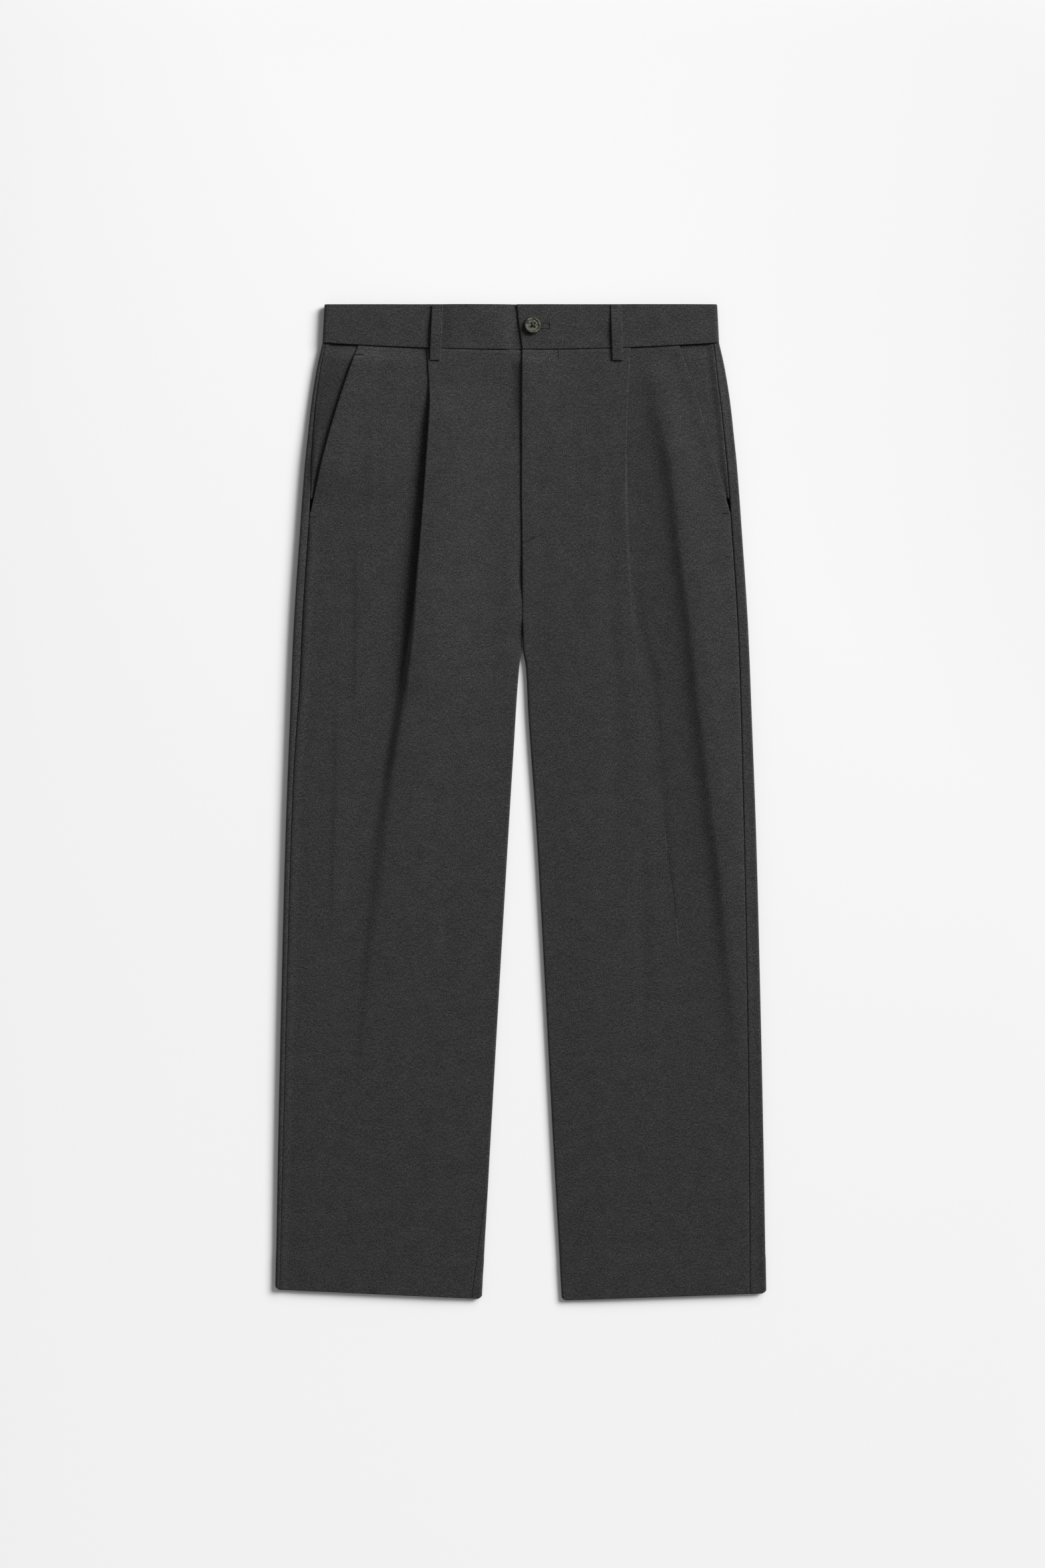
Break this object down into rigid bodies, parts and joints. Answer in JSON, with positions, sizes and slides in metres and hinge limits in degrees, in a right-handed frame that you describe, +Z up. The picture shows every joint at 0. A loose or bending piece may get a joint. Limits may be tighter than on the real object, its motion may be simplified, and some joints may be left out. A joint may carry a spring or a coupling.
{
  "type": "pleated dress trousers, laid flat",
  "caption": "Pleated dress trousers laid flat, front up: straight legs, slanted pockets, belt loops, closed fly and buttoned waistband.",
  "frame": {"origin": "on the surface that the trousers lie on, under the middle of the garment's outline", "axes": "+X to the wearer's left, +Y from the hems to the waist, +Z up from the surface, out of the front of the garment"},
  "size_m": [0.5148, 1.0443, 0.0195],
  "materials": {
    "wool_cloth": "fine plain-weave charcoal melange wool, matt",
    "zip_tape": "woven tape",
    "button": "horn-like resin, satin with a soft gloss",
    "thread": "dark polyester sewing thread"
  },
  "bodies": {
    "root": {"front_right": "wool_cloth", "front_left": "wool_cloth", "back_right": "wool_cloth", "back_left": "wool_cloth", "pocket_facing_right": "wool_cloth", "pocket_facing_left": "wool_cloth", "waistband_right": "wool_cloth", "waistband_left": "wool_cloth", "belt_loop_front_right": "wool_cloth", "belt_loop_front_left": "wool_cloth", "belt_loop_back_right": "wool_cloth", "belt_loop_back_left": "wool_cloth", "belt_loop_back_centre": "wool_cloth", "fly_shield": "wool_cloth", "fly_zip": "zip_tape", "waist_button": "button"}
  },
  "joints": []
}
